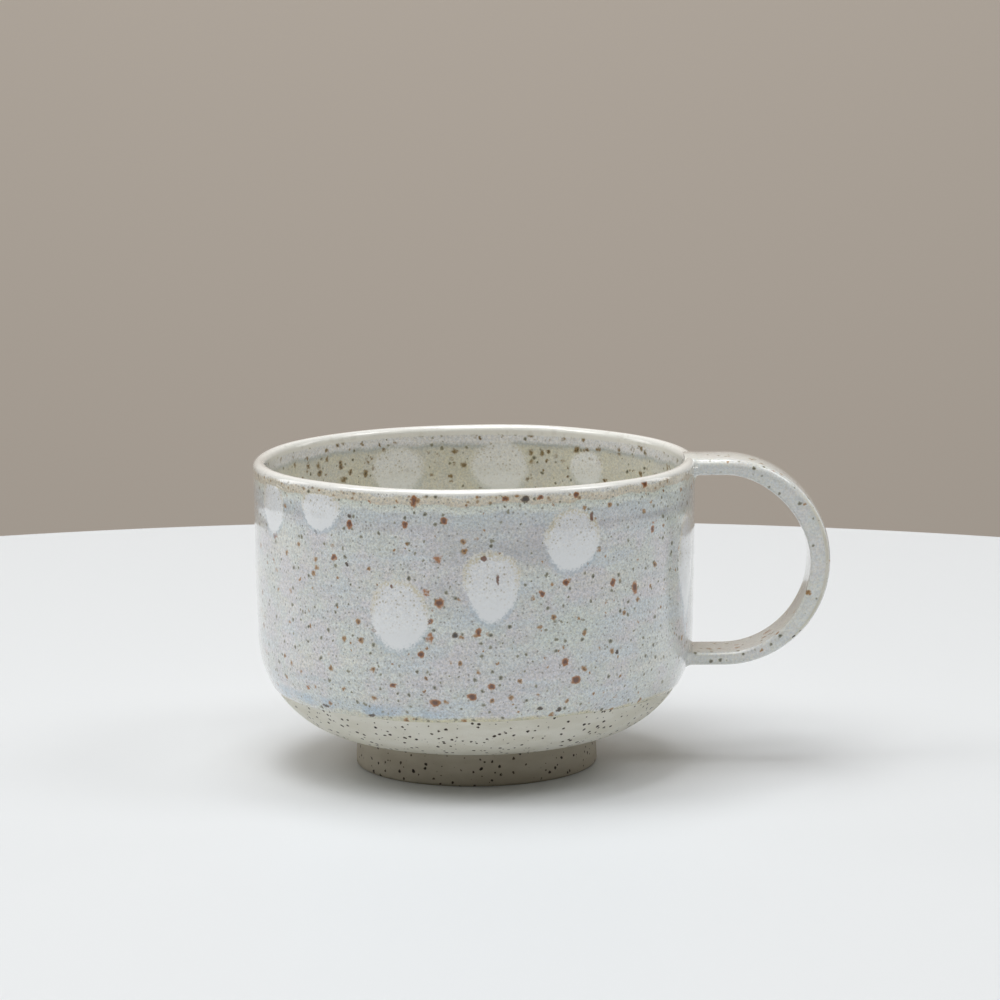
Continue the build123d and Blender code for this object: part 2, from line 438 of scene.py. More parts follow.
@dataclass(frozen=True)
class IronSpecks:
    """Grains of iron that melt through the glaze, as balls that the surface cuts (millimetres)."""

    pitch: float  # mean distance between grains in the clay
    radius: float  # radius of the largest grains
    share: float  # share of the grains that come through
    softness: float  # width of the edge as a share of the radius
    rim_colour: str
    core_colour: str
    strength: float = 1.0
    shift: float = 0.0
    raggedness: float = 1.1  # how far the edge is bent, as a share of the radius
    smallest: float = 0.4  # the smallest grains, as a share of the largest
    heart: float = 0.4  # the dark heart, as a share of the grain

    def draw(self, sheet: NodeSheet, place: Place, colour: Place, wobble: Place) -> Place:
        """Lay the specks over a colour.

        Args:
            sheet: the material's nodes.
            place: object coordinates in millimetres.
            colour: the colour below.
            wobble: a small noise vector that makes the grains irregular.

        Returns:
            The new colour.
        """
        bend = self.radius * self.raggedness
        moved = sheet.vector("MULTIPLY_ADD", wobble, (bend, bend, bend), place)
        shifted = sheet.vector("ADD", moved, (self.shift, self.shift * 1.7, self.shift * 0.6))
        cells = sheet.add("TexVoronoi", {"Vector": shifted, "Scale": 1 / self.pitch})
        chances = sheet.add("SeparateColor", {0: cells.outputs["Color"]})
        largest = self.radius / self.pitch
        sized = sheet.ramp(chances.outputs[0], 0.0, 1.0, largest * self.smallest, largest)
        there = sheet.sum("LESS_THAN", chances.outputs[1], self.share)
        kept = sheet.sum("MULTIPLY", sized, there)
        edge = sheet.sum("MULTIPLY", kept, 1 - self.softness)
        mask = sheet.ramp(cells.outputs["Distance"], kept, edge, 0.0, self.strength)
        heart = sheet.sum("MULTIPLY", edge, self.heart)
        core = sheet.ramp(cells.outputs["Distance"], edge, heart)
        hue = sheet.blend(core, linear(self.rim_colour), linear(self.core_colour))
        return sheet.blend(mask, colour, hue)


# Fine black pepper, rust freckles, olive freckles, and the few large rust blooms with dark hearts.
# Then what is seen only on the lip, in the liner, on the dabs and in the bare clay.
PEPPER = IronSpecks(0.95, 0.36, 0.9, 0.75, "#868179", "#4b463f", 0.74, 3.0)
FRECKLES = IronSpecks(3.1, 0.86, 0.85, 0.5, "#ab8048", "#54300f", 0.95, 11.0)
OLIVES = IronSpecks(1.9, 0.6, 0.88, 0.5, "#8a866c", "#3a3528", 0.92, 17.0)
BLOOMS = IronSpecks(8.0, 1.45, 0.75, 0.5, "#b0702f", "#683608", 0.95, 23.0)
RIM_GRAIN = IronSpecks(1.5, 0.62, 0.9, 0.6, "#a98a5c", "#6b4a28", 0.85, 29.0)
LINER_SPECKS = IronSpecks(2.5, 1.12, 0.95, 0.6, "#8c7448", "#3d2a17", 0.95, 37.0)
DAB_DOTS = IronSpecks(0.72, 0.36, 0.92, 0.75, "#bdb5a2", "#7d735f", 0.85, 5.0)
CLAY_SPECKS = IronSpecks(1.45, 0.47, 0.95, 0.3, "#4d3e2e", "#1e1711", 1.0, 51.0)
CLAY_DUST = IronSpecks(1.25, 0.17, 0.6, 0.4, "#8a7a64", "#6a5a48", 0.6, 67.0)


class Face(Enum):
    """A face of the bowl, with the sense in which its radius grows as glaze is added."""

    OUTSIDE = 1
    LINER = -1


class Iron(Enum):
    """How a large grain of iron has melted, as the colours of its edge and its heart."""

    RUST = ("#b37334", "#663206")
    BLACK = ("#6b5640", "#241c15")


@dataclass(frozen=True)
class Mark:
    """A grain or a wash large enough to be placed one by one (degrees from the front, then millimetres)."""

    angle: float
    z: float
    width: float
    height: float


@dataclass(frozen=True)
class Wash(Mark):
    """A broad soft patch of another tint."""

    colour: str
    strength: float


def nearness(sheet: NodeSheet, place: Place, wall: Wall, marks: Sequence[Mark]) -> Place:
    """How near a place is to the nearest of some marks, where one is a mark's own edge.

    Args:
        sheet: the material's nodes.
        place: object coordinates in millimetres.
        wall: the radius of the surface that carries the marks, from a height.
        marks: the marks.

    Returns:
        The distance as a share of the mark's size.
    """
    nearest: Place | float = 9.0
    for mark in marks:
        turn = math.radians(mark.angle)
        spans = (2 / mark.width, 2 / mark.width, 2 / mark.height)
        reach = wall(mark.z)
        centre = (reach * math.sin(turn), -reach * math.cos(turn), mark.z)
        offset = tuple(-c * s for c, s in zip(centre, spans))
        away = sheet.length(sheet.vector("MULTIPLY_ADD", place, spans, offset))
        nearest = sheet.sum("MINIMUM", away, nearest)
    return nearest


# A thin glassy skin over the body of the glaze: tight bright lines on edges and lip.
GLASSY = {"IOR": 1.5, "Coat Weight": 0.85, "Coat Roughness": 0.06}


def surface(
    sheet: NodeSheet,
    colour: Place,
    height: Place,
    relief: float,
    roughness: Place | float,
    gloss: Mapping[str, float],
) -> bpy.types.Material:
    """Close a material with its shader.

    Args:
        sheet: the material's nodes.
        colour: the colour of the surface.
        height: a relief from nought to one.
        relief: how high that relief stands, in millimetres.
        roughness: the roughness of the surface.
        gloss: constant values of the shader's own sockets.

    Returns:
        The finished material.
    """
    bump = sheet.add("Bump", {"Strength": 1.0, "Distance": relief * MM, "Height": height})
    shader = sheet.add(
        "BsdfPrincipled",
        {"Base Color": colour, "Roughness": roughness, "Normal": bump.outputs[0], **gloss},
    )
    sheet.add("OutputMaterial", {0: shader.outputs[0]})
    return sheet.material


RUST_MARKS = (
    Mark(-8.6, 43.9, 2.3, 2.3),
    Mark(-14.7, 65.1, 1.5, 3.2),
    Mark(-32.5, 59.3, 1.7, 2.0),
    Mark(-17.0, 60.1, 1.4, 1.7),
    Mark(-7.2, 61.1, 1.7, 1.8),
    Mark(-37.7, 51.9, 1.6, 1.6),
    Mark(7.9, 65.6, 1.5, 1.2),
    Mark(16.7, 65.5, 1.6, 1.2),
    Mark(26.2, 65.6, 1.3, 1.6),
    Mark(48.2, 66.2, 2.0, 2.4),
    Mark(51.6, 56.0, 1.4, 1.8),
    Mark(23.5, 47.3, 1.5, 1.7),
    Mark(37.4, 46.2, 1.4, 2.0),
    Mark(44.9, 44.4, 1.8, 3.0),
    Mark(17.2, 45.4, 1.3, 1.6),
    Mark(-11.0, 39.9, 1.5, 1.5),
    Mark(1.1, 37.7, 1.4, 1.9),
    Mark(-13.4, 32.8, 1.6, 1.8),
    Mark(-10.2, 22.6, 2.4, 1.9),
    Mark(-0.6, 24.0, 2.2, 2.0),
    Mark(4.3, 26.2, 1.7, 1.6),
    Mark(23.4, 30.5, 1.9, 1.9),
    Mark(26.5, 26.4, 2.3, 2.0),
    Mark(-20.9, 26.0, 1.8, 1.2),
)
BLACK_MARKS = (
    Mark(-32.4, 61.1, 1.3, 1.1),
    Mark(-58.7, 63.5, 1.7, 2.0),
    Mark(12.9, 65.4, 1.9, 1.6),
    Mark(-4.7, 37.2, 1.6, 1.5),
    Mark(-43.5, 57.0, 1.2, 1.3),
    Mark(17.2, 20.7, 1.3, 1.1),
    Mark(22.6, 20.2, 1.4, 1.2),
    Mark(-28.8, 18.6, 2.2, 0.9),
    Mark(-44.3, 19.2, 2.0, 1.1),
    Mark(38.9, 31.2, 1.0, 1.2),
    Mark(-33.5, 50.9, 1.0, 1.1),
)
DAB_MARKS = (
    Mark(30.7, 60.8, 1.1, 2.4),
    Mark(5.9, 48.6, 0.7, 3.2),
    Mark(2.6, 53.2, 1.7, 1.2),
    Mark(-21.0, 47.0, 0.8, 0.9),
)
WASHES = (
    Wash(24.0, 37.0, 26.0, 13.0, "#dbe4dc", 0.6),
    Wash(6.0, 31.0, 16.0, 11.0, "#dae3df", 0.5),
    Wash(14.0, 54.5, 26.0, 9.0, "#bab6b9", 0.55),
    Wash(-3.0, 55.5, 18.0, 9.0, "#c3c0c4", 0.5),
    Wash(64.0, 58.5, 26.0, 9.0, "#cad2c0", 0.55),
    Wash(-6.0, 46.0, 13.0, 12.0, "#c9c6cc", 0.4),
    Wash(1.0, 41.5, 15.0, 6.0, "#c5d3de", 0.4),
    Wash(12.5, 64.0, 5.4, 6.0, "#f4f4f2", 0.95),
    Wash(62.0, 62.2, 34.0, 5.0, "#e2e5c9", 0.8),
    Wash(60.0, 59.2, 30.0, 1.8, "#a9b4bb", 0.6),
)


@dataclass(frozen=True)
class SpeckledGlaze:
    """White stoneware glaze dipped over iron clay: grey-lavender, broken by grain, bands and specks."""

    lavender: str = "#dedbde"
    green_grey: str = "#dde2dd"
    blue_grey: str = "#d8dfe2"
    cream: str = "#e6e4d9"
    liner_green: str = "#dedbc9"
    liner_grey: str = "#dcdacf"
    blue_pool: str = "#b3c8d8"
    gold_edge: str = "#d6cda4"
    grain_size: float = 0.5
    cloud_size: float = 11.0
    liner_cloud_size: float = 8.0
    streak_size: float = 15.0
    line_size: float = 1.1
    sway_size: float = 5.5
    edge_size: float = 1.6
    crumb_size: float = 0.45
    ripple_size: float = 0.8
    roughness: float = 0.15
    relief: float = 0.02
    dab_relief: float = 0.015

    def mottle(self, sheet: NodeSheet, place: Place) -> Place:
        """Slow changes from lavender to green and blue grey, with streaks laid round by the wheel."""
        cloud = sheet.noise(place, self.cloud_size, 5.0, 0.6)[0]
        flat = sheet.vector("MULTIPLY", place, (1.0, 1.0, 3.2))
        streak = sheet.noise(flat, self.streak_size, 5.0)[0]
        warm = sheet.ramp(cloud, 0.42, 0.58)
        first = sheet.blend(warm, linear(self.lavender), linear(self.green_grey))
        second = sheet.blend(sheet.ramp(streak, 0.5, 0.66), first, linear(self.blue_grey))
        third = sheet.blend(sheet.ramp(streak, 0.46, 0.3, 0.0, 0.6), second, linear(self.cream))
        thin = sheet.vector("MULTIPLY", place, (0.05, 0.05, 1.0))
        line = sheet.noise(thin, self.line_size, 3.0)[0]
        return sheet.shade(third, sheet.ramp(line, 0.35, 0.65, 0.94, 1.06, "LINEAR"))

    def bands(self, sheet: NodeSheet, place: Place, body: Place) -> Place:
        """Bands where coats overlap: down from the lip, and the pooled edge above the bare clay.

        Args:
            sheet: the material's nodes.
            place: object coordinates in millimetres.
            body: the colour between the bands.

        Returns:
            The banded colour.
        """
        axes = sheet.add("SeparateXYZ", {0: place}).outputs
        angle = sheet.sum("ARCTAN2", axes[0], sheet.sum("MULTIPLY", axes[1], -1.0))
        loose = sheet.vector("MULTIPLY", place, (1.0, 1.0, 0.35))
        sway = sheet.noise(loose, self.sway_size, 4.0)[0]
        swayed = sheet.sum("ADD", axes[2], sheet.ramp(sway, 0.25, 0.75, -0.5, 0.5))
        level = sheet.ramp(swayed, 55.0, 69.0, 0.0, 1.0, "LINEAR")
        rim = sheet.add(
            "ValToRGB",
            {0: level},
            stops=[
                (0.16, linear("#cccacd", 0.0)),
                (0.30, linear("#c9c8cc", 0.6)),
                (0.39, linear("#c8d0d5", 0.55)),
                (0.52, linear("#cad3d6", 0.75)),
                (0.575, linear("#e8ede4", 0.9)),
                (0.655, linear("#e0e5d6", 0.9)),
                (0.675, linear("#dacdb4", 0.95)),
                (0.77, linear("#ebe1ca", 0.95)),
                (0.80, linear("#f7f6f0", 1.0)),
            ],
        )
        banded = sheet.blend(rim.outputs[1], body, rim.outputs[0])
        pool = sheet.sum(
            "MULTIPLY",
            sheet.sum("MULTIPLY", sheet.ramp(swayed, 17.9, 19.0), sheet.ramp(swayed, 22.2, 20.4)),
            sheet.sum("MULTIPLY", sheet.ramp(angle, -1.35, -1.1), sheet.ramp(angle, 0.05, -0.35)),
        )
        patchy = sheet.sum("MULTIPLY", pool, sheet.ramp(sway, 0.38, 0.62, 0.25, 0.95))
        pooled = sheet.blend(patchy, banded, linear(self.blue_pool))
        gold = sheet.sum("MULTIPLY", sheet.ramp(swayed, 19.4, 18.4), sheet.ramp(angle, -0.9, -0.2, 0.2, 0.9))
        return sheet.blend(gold, pooled, linear(self.gold_edge))

    def washed(self, sheet: NodeSheet, place: Place, wobble: Place, colour: Place, wall: Wall) -> Place:
        """Lay the broad soft washes, each a little ragged, on a colour."""
        ragged = sheet.vector("MULTIPLY_ADD", wobble, (4.0, 4.0, 4.0), place)
        for mark in WASHES:
            mask = sheet.ramp(nearness(sheet, ragged, wall, (mark,)), 1.05, 0.3, 0.0, mark.strength)
            colour = sheet.blend(mask, colour, linear(mark.colour))
        return colour

    def liner(self, sheet: NodeSheet, place: Place) -> Place:
        """The greener, darker glaze inside, with a pale band under the lip."""
        cloud = sheet.noise(place, self.liner_cloud_size, 5.0)[0]
        body = sheet.blend(sheet.ramp(cloud, 0.4, 0.6), linear(self.liner_green), linear(self.liner_grey))
        swayed = sheet.sum("ADD", sheet.height(place), sheet.ramp(cloud, 0.3, 0.7, -0.4, 0.4))
        rim = sheet.add(
            "ValToRGB",
            {0: sheet.ramp(swayed, 55.0, 69.0, 0.0, 1.0, "LINEAR")},
            stops=[
                (0.5, linear("#c8c8c0", 0.0)),
                (0.57, linear("#b6bcbd", 0.85)),
                (0.63, linear("#f1f1f6", 0.95)),
                (0.76, linear("#f6f6f8", 0.95)),
                (0.80, linear("#f7f6f0", 1.0)),
            ],
        )
        return sheet.blend(rim.outputs[1], body, rim.outputs[0])

    def grain(self, sheet: NodeSheet, place: Place, colour: Place, amount: float) -> tuple[Place, Place]:
        """Break a colour with fine salt-and-pepper grain in slightly different tints.

        Args:
            sheet: the material's nodes.
            place: object coordinates in millimetres.
            colour: the colour below.
            amount: how strongly light and dark grains part.

        Returns:
            The broken colour and the grain's height.
        """
        fine = sheet.noise(place, self.grain_size, 2.0, 0.8)
        toned = sheet.shade(colour, sheet.ramp(fine[0], 0.34, 0.66, 1 - amount, 1 + amount * 0.9, "LINEAR"))
        hues = sheet.add("SeparateColor", {0: fine[1]}).outputs
        tints = sheet.add(
            "ValToRGB",
            {0: hues[2]},
            stops=[(0.35, linear("#c3d4e3")), (0.5, linear("#e0dfdd")), (0.65, linear("#efe4c2"))],
        ).outputs[0]
        return sheet.blend(0.2, toned, tints), fine[0]

    def marked(self, sheet: NodeSheet, place: Place, wobble: Place, colour: Place, wall: Wall) -> Place:
        """Lay the listed specks on a colour."""
        ragged = sheet.vector("MULTIPLY_ADD", wobble, (1.0, 1.0, 1.0), place)
        for iron, marks in ((Iron.RUST, RUST_MARKS), (Iron.BLACK, BLACK_MARKS)):
            edge, heart = iron.value
            near = nearness(sheet, ragged, wall, marks)
            hue = sheet.blend(sheet.ramp(near, 0.85, 0.3), linear(edge), linear(heart))
            colour = sheet.blend(sheet.ramp(near, 1.1, 0.7, 0.0, 0.95), colour, hue)
        return colour

    def outside(self, sheet: NodeSheet, place: Place, wobble: Place, wall: Wall) -> tuple[Place, Place]:
        """Colour and height of the outside, from mottling to marks."""
        washed = self.washed(sheet, place, wobble, self.mottle(sheet, place), wall)
        colour, height = self.grain(sheet, place, self.bands(sheet, place, washed), 0.3)
        for specks in (PEPPER, OLIVES, FRECKLES, BLOOMS):
            colour = specks.draw(sheet, place, colour, wobble)
        return self.marked(sheet, place, wobble, colour, wall), height

    def inside(self, sheet: NodeSheet, place: Place, wobble: Place) -> tuple[Place, Place]:
        """Colour and height of the inside."""
        colour, height = self.grain(sheet, place, self.liner(sheet, place), 0.2)
        for specks in (OLIVES, LINER_SPECKS):
            colour = specks.draw(sheet, place, colour, wobble)
        return colour, height

    def on_wall(self, name: str, wall: Wall) -> bpy.types.Material:
        """The outside glaze as a finished material."""
        sheet, place, wobble = open_sheet(name, self.ripple_size)
        colour, height = self.outside(sheet, place, wobble, wall)
        return surface(sheet, colour, height, self.relief, self.roughness, GLASSY)

    def in_liner(self, name: str) -> bpy.types.Material:
        """The inside glaze as a finished material."""
        sheet, place, wobble = open_sheet(name, self.ripple_size)
        colour, height = self.inside(sheet, place, wobble)
        return surface(sheet, colour, height, self.relief, self.roughness, GLASSY)

    def over_lip(self, name: str, wall: Wall) -> bpy.types.Material:
        """The glaze that runs over the lip, where the outside turns into the inside, with a painted
        highlight down the lip's inner side.
        """
        sheet, place, wobble = open_sheet(name, self.ripple_size)
        out_colour, height = self.outside(sheet, place, wobble, wall)
        in_colour, _ = self.inside(sheet, place, wobble)
        grainy = RIM_GRAIN.draw(sheet, place, out_colour, wobble)
        height_up = sheet.height(place)
        out_colour = sheet.blend(sheet.ramp(height_up, 66.5, 65.9), out_colour, grainy)
        flat = sheet.vector("MULTIPLY", place, (1.0, 1.0, 0.0))
        radius = sheet.length(flat)
        colour = sheet.blend(sheet.ramp(radius, 46.2, 47.1), in_colour, out_colour)
        # Painted highlight: inside the lip the pale band reaches lower, so that the lip's shaded inner side
        # looks lit.
        highlight_reach_height = sheet.sum("ADD", height_up, sheet.ramp(radius, 46.6, 45.8, 0.0, 1.1))
        pale_lip_and_highlight = sheet.ramp(highlight_reach_height, 66.15, 66.6)
        # The pale lip is partly its own pale glaze and partly painted highlight, most of all down the inner
        # side.
        colour = sheet.blend(sheet.sum("MULTIPLY", pale_lip_and_highlight, 0.88), colour, linear("#faf9f4"))
        return surface(sheet, colour, height, self.relief, self.roughness, GLASSY)

    def on_handle(self, name: str) -> bpy.types.Material:
        """The same glaze on the strap, where it is paler and has fewer specks."""
        sheet, place, wobble = open_sheet(name, self.ripple_size)
        body = sheet.blend(0.6, self.mottle(sheet, place), linear("#f2f2ec"))
        colour, height = self.grain(sheet, place, body, 0.15)
        for specks in (OLIVES, FRECKLES, BLOOMS):
            colour = specks.draw(sheet, place, colour, wobble)
        return surface(sheet, colour, height, self.relief, self.roughness, GLASSY)

    def on_dab(self, name: str, wall: Wall, face: Face) -> bpy.types.Material:
        """White glaze dabbed over the base glaze: creamy broken upper edge, and a blue lower edge that is
        partly the glaze's own halo and partly painted shade.

        Args:
            name: the name of the finish.
            wall: the radius of the surface that carries the dabs, from a height.
            face: the face that they lie on.

        Returns:
            The finished material.
        """
        sheet, place, wobble = open_sheet(name, self.ripple_size)
        inside = face is Face.LINER
        if inside:
            below, height = self.inside(sheet, place, wobble)
        else:
            below, height = self.outside(sheet, place, wobble, wall)
        out = sheet.add("Attribute", attribute_name="dab_reach").outputs["Fac"]
        rise = sheet.add("Attribute", attribute_name="dab_rise").outputs["Fac"]
        rough_edge = sheet.noise(place, self.edge_size, 3.0)[0]
        crumbs = sheet.noise(place, self.crumb_size, 2.0)[0]
        swayed = sheet.sum("ADD", out, sheet.ramp(rough_edge, 0.3, 0.7, -0.03, 0.03))
        ragged = sheet.sum("ADD", swayed, sheet.ramp(crumbs, 0.3, 0.7, -0.045, 0.045))
        upper = sheet.ramp(rise, -0.25, 0.35)
        strength = 0.5 if inside else 1.0
        # Painted shade and halo: a blue band along the dab's lower edge only, partly the glaze's own blue
        # halo, partly painted shade under the raised edge.
        shade = sheet.sum(
            "MULTIPLY", sheet.ramp(ragged, 0.93, 0.8, 0.0, 0.45 * strength), sheet.ramp(rise, 0.0, -0.6)
        )
        haloed_and_shaded = sheet.blend(shade, below, linear("#b9cbd8"))
        white = sheet.blend(upper, linear("#fcfeff"), linear("#f8f9fa"))
        grainy, _ = self.grain(sheet, place, white, 0.2)
        broken = sheet.blend(0.7, white, grainy)
        dotted = DAB_DOTS.draw(sheet, place, broken, wobble)
        speckled = sheet.blend(sheet.ramp(rise, -0.7, 0.35), white, dotted)
        patchy = sheet.sum("MULTIPLY", upper, sheet.ramp(crumbs, 0.4, 0.6, 0.35, 1.0))
        creamy = sheet.sum("MULTIPLY", sheet.ramp(ragged, 0.6, 0.78, 0.0, 0.85 * strength), patchy)
        tinted = sheet.blend(creamy, speckled, linear("#d8cdab"))
        soft = 0.64 if inside else 0.76
        softer = sheet.sum("ADD", sheet.ramp(rise, 0.2, -0.8, 0.0, -0.1), soft)
        body = sheet.blend(sheet.ramp(ragged, 0.82, softer, 0.0, 0.8 if inside else 0.97), haloed_and_shaded, tinted)
        ragged_place = sheet.vector("MULTIPLY_ADD", wobble, (0.7, 0.7, 0.7), place)
        if not inside:
            near = nearness(sheet, ragged_place, wall, DAB_MARKS)
            body = sheet.blend(sheet.ramp(near, 1.05, 0.6, 0.0, 0.9), body, linear("#6f3a14"))
        return surface(sheet, body, height, self.dab_relief, self.roughness, GLASSY)


@dataclass(frozen=True)
class BareStoneware:
    """Unglazed speckled stoneware, turned on the wheel and fired: dry, cream, with crisp iron specks."""

    cream: str = "#e8e5d9"
    shade: str = "#dfdbcc"
    ripple_size: float = 0.7
    cloud_size: float = 9.0
    sand_size: float = 0.35
    relief: float = 0.05
    roughness: float = 0.62

    def material(self, name: str) -> bpy.types.Material:
        """The clay as a finished material."""
        sheet, place, wobble = open_sheet(name, self.ripple_size)
        flat = sheet.vector("MULTIPLY", place, (1.0, 1.0, 3.0))
        cloud = sheet.noise(flat, self.cloud_size, 5.0)[0]
        colour = sheet.blend(sheet.ramp(cloud, 0.35, 0.65), linear(self.cream), linear(self.shade))
        for specks in (CLAY_DUST, CLAY_SPECKS):
            colour = specks.draw(sheet, place, colour, wobble)
        sand = sheet.noise(place, self.sand_size, 3.0)[0]
        return surface(sheet, colour, sand, self.relief, self.roughness, {"IOR": 1.45})


# --- Pieces -----------------------------------------------------------------------------------------------


@dataclass(frozen=True)
class Bowl:
    """The clay bowl on its turned foot (millimetres)."""

    form: ThrownForm
    steps: int = 240
    fine_pace: float = 0.7
    hidden_pace: float = 3.0
    overlap: float = 2.0  # how far the fine mesh goes on under the glaze
    floor_shares: tuple[float, ...] = (0.3, 0.55, 0.75, 0.9)
    lip_pieces: int = 10
    foot_bevel: float = 0.55
    foot_inner: float = 21.9
    foot_inset: float = 0.5  # how far the foot's side leans in at its top
    recess_lean: float = 0.9
    foot_rows: int = 7
    corner_angle: float = 0.8  # the ring's edges that turn more than this are softened

    def clay(self) -> bpy.types.Object:
        """The thrown bowl, fine where the clay is bare and coarse under the glaze."""
        out, inside = self.form.clay_out, self.form.clay_in
        bare_top = self.form.glaze_line + self.overlap
        outline = [(0.0, out.bottom())]
        outline += [(out.centre_r * share, out.bottom()) for share in self.floor_shares]
        outline += out.walk(out.bottom(), bare_top, self.fine_pace)
        outline += out.walk(bare_top, self.form.lip_spring, self.hidden_pace)[1:]
        outline += self.form.lip(out, inside, self.lip_pieces)
        outline += reversed(inside.walk(inside.bottom(), self.form.lip_spring, self.hidden_pace))
        outline += [(inside.centre_r * 0.5, inside.bottom()), (0.0, inside.bottom())]
        bm = spin_outline(outline, self.steps)
        self.form.throw(bm)
        return finish_mesh(bm, "thrown_bowl")

    def foot(self) -> bpy.types.Object:
        """The turned foot ring, with softened edges."""
        high = box_of("foot_ring")[1]
        outline = [(self.foot_inner, 0.0), (high.y, 0.0)]
        for row in range(1, self.foot_rows + 1):
            share = row / self.foot_rows
            outline.append((high.y - self.foot_inset * share**2, high.z * share))
        outline.append((self.foot_inner - self.recess_lean, high.z))
        bm = spin_outline(outline, self.steps)
        standing = [e for e in bm.edges if max(abs(v.co.z) for v in e.verts) < 1e-4]
        corners = [e for e in standing if e.calc_face_angle() > self.corner_angle]
        bmesh.ops.bevel(
            bm,
            geom=corners,
            offset=self.foot_bevel,
            offset_type="OFFSET",
            affect="EDGES",
            segments=4,
            profile=0.5,
            material=-1,
        )
        return finish_mesh(bm, "turned_foot")


@dataclass(frozen=True)
class Coats:
    """The three coats of glaze on the bowl: outside, over the lip, and inside (millimetres)."""

    form: ThrownForm
    steps: int = 240
    pace: float = 1.1
    hidden_pace: float = 4.0
    lip_pace: float = 0.35
    hidden_lip_pace: float = 0.7
    lip_pieces: int = 18
    hidden_lip_pieces: int = 8
    floor_rings: int = 12
    edge_waves: Waves = ((1, 0.3, 0.4), (4, 0.14, 0.0), (11, 0.08, 2.0))
    edge_reach: float = 5.0

    def outside(self) -> bpy.types.Object:
        """The outside coat, which ends in a rounded edge a little uneven in height."""
        form, skin = self.form, self.form.glaze_out()
        low, high = form.glaze_line, form.rim_seam
        roll = [
            (form.clay_out.reach(low) - 0.02, low),
            (form.clay_out.reach(low) + 0.14, low - 0.06),
            (skin.reach(low) - 0.04, low + 0.05),
            (skin.reach(low + 0.3) - 0.005, low + 0.3),
        ]
        outline = roll + skin.walk(low + 0.7, high, self.pace)
        outline += reversed(form.clay_out.walk(low + 0.6, high, self.hidden_pace))
        bm = spin_outline(outline, self.steps)
        for vert in bm.verts:
            angle = math.atan2(vert.co.x, -vert.co.y)
            near = 1 - ease((vert.co.z - low) / self.edge_reach)
            old = skin.reach(vert.co.z)
            vert.co.z += swing(angle, self.edge_waves) * near
            growth = (skin.reach(vert.co.z) - old) / old
            vert.co.x *= 1 + growth
            vert.co.y *= 1 + growth
        form.throw(bm)
        return finish_mesh(bm, "outside_glaze")

    def lip(self) -> bpy.types.Object:
        """The thin coat over the lip."""
        form = self.form
        out, inside = form.glaze_out(), form.glaze_in()
        outline = out.walk(form.rim_seam, form.lip_spring, self.lip_pace)
        outline += form.lip(out, inside, self.lip_pieces)
        outline += reversed(inside.walk(form.rim_seam, form.lip_spring, self.lip_pace))
        outline += form.clay_in.walk(form.rim_seam, form.lip_spring, self.hidden_lip_pace)
        outline += reversed(form.lip(form.clay_out, form.clay_in, self.hidden_lip_pieces))
        outline += reversed(form.clay_out.walk(form.rim_seam, form.lip_spring, self.hidden_lip_pace))
        bm = spin_outline(outline, self.steps)
        form.throw(bm)
        return finish_mesh(bm, "lip_glaze")

    def liner(self) -> bpy.types.Object:
        """The coat inside, from the middle of the floor up to the lip coat."""
        form, skin = self.form, self.form.glaze_in()
        floor, clay_floor = skin.bottom(), form.clay_in.bottom()
        rings = self.floor_rings
        outline = [(0.0, floor)] + [(skin.centre_r * i / rings, floor) for i in range(1, rings)]
        outline += skin.walk(floor, form.rim_seam, self.pace)
        outline += reversed(form.clay_in.walk(clay_floor, form.rim_seam, self.hidden_pace))
        outline += [(form.clay_in.centre_r * 0.5, clay_floor), (0.0, clay_floor)]
        bm = spin_outline(outline, self.steps)
        form.throw(bm)
        return finish_mesh(bm, "liner_glaze_coat")


# How far along the strap its first sections are, which stand close together where it meets the wall.
ROOT_SHARES = (0.0, 0.006, 0.012, 0.017, 0.021, 0.025, 0.029, 0.033, 0.037, 0.042, 0.05, 0.06, 0.07)


